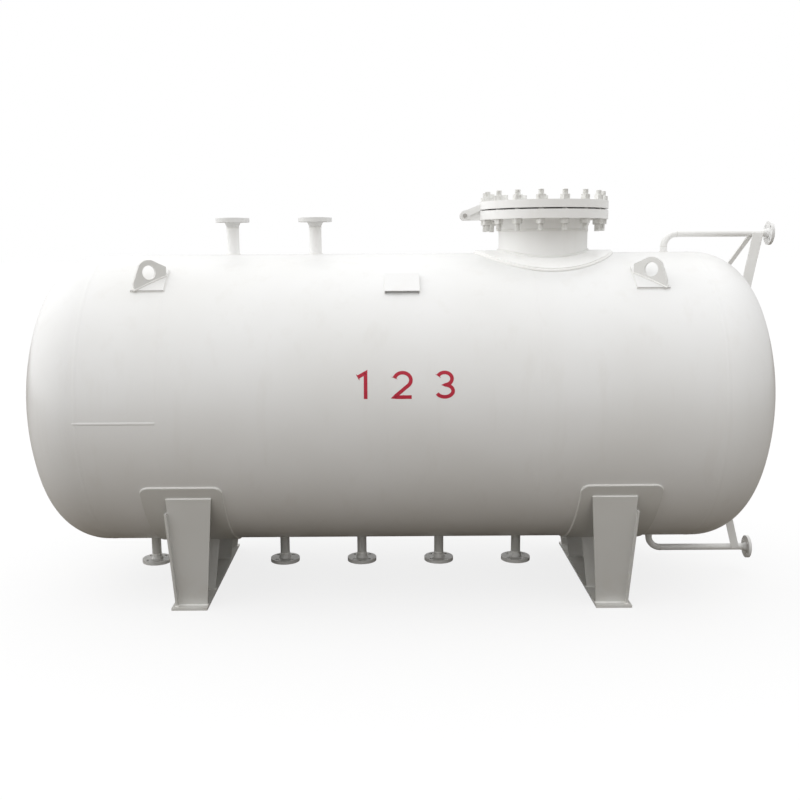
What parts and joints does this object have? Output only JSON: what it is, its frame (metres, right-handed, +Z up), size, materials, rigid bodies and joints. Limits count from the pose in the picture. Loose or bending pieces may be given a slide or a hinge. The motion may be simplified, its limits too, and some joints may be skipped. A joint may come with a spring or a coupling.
{
  "type": "horizontal pressure tank",
  "caption": "Horizontal steel pressure tank with domed ends on two saddles, with a bolted manway, flanged nozzles above and below, level-gauge lines and lifting lugs.",
  "frame": {"origin": "on the floor, midway between the four anchor holes of the saddles", "axes": "+X along the tank towards the level-gauge end, +Z up, the front of the tank faces -Y"},
  "size_m": [3.651, 1.428, 1.954],
  "materials": {
    "white_paint": "semi-gloss white paint",
    "stud_steel": "zinc-plated studs and nuts",
    "gasket": "dark sheet gasket"
  },
  "bodies": {
    "root": {"bottom_nozzle_flange_1": "white_paint", "bottom_nozzle_flange_2": "white_paint", "bottom_nozzle_flange_3": "white_paint", "bottom_nozzle_flange_4": "white_paint", "bottom_nozzle_flange_5": "white_paint", "bottom_nozzle_pipes": "white_paint", "gauge_flange_bottom": "white_paint", "gauge_flange_top": "white_paint", "gauge_pipe_bottom": "white_paint", "gauge_pipe_top": "white_paint", "gauge_stay_bottom": "white_paint", "gauge_stay_slant": "white_paint", "gauge_stay_top": "white_paint", "head_left": "white_paint", "head_right": "white_paint", "lifting_lug_back_left": "white_paint", "lifting_lug_back_right": "white_paint", "lifting_lug_front_left": "white_paint", "lifting_lug_front_right": "white_paint", "lifting_lug_pads": "white_paint", "manway_cover": "white_paint", "manway_flange": "white_paint", "manway_gasket": "gasket", "manway_hinge_arms": "white_paint", "manway_hinge_bracket": "white_paint", "manway_hinge_pin": "stud_steel", "manway_neck": "white_paint", "manway_pad": "white_paint", "manway_studs": "stud_steel", "nameplate_bracket": "white_paint", "saddle_left_base_plate": "white_paint", "saddle_left_end_plates": "white_paint", "saddle_left_ribs": "white_paint", "saddle_left_wear_plate": "white_paint", "saddle_left_web": "white_paint", "saddle_right_base_plate": "white_paint", "saddle_right_end_plates": "white_paint", "saddle_right_ribs": "white_paint", "saddle_right_wear_plate": "white_paint", "saddle_right_web": "white_paint", "seam_welds": "white_paint", "shell": "white_paint", "top_nozzle_flange_1": "white_paint", "top_nozzle_flange_2": "white_paint", "top_nozzle_pipes": "white_paint"}
  },
  "joints": []
}
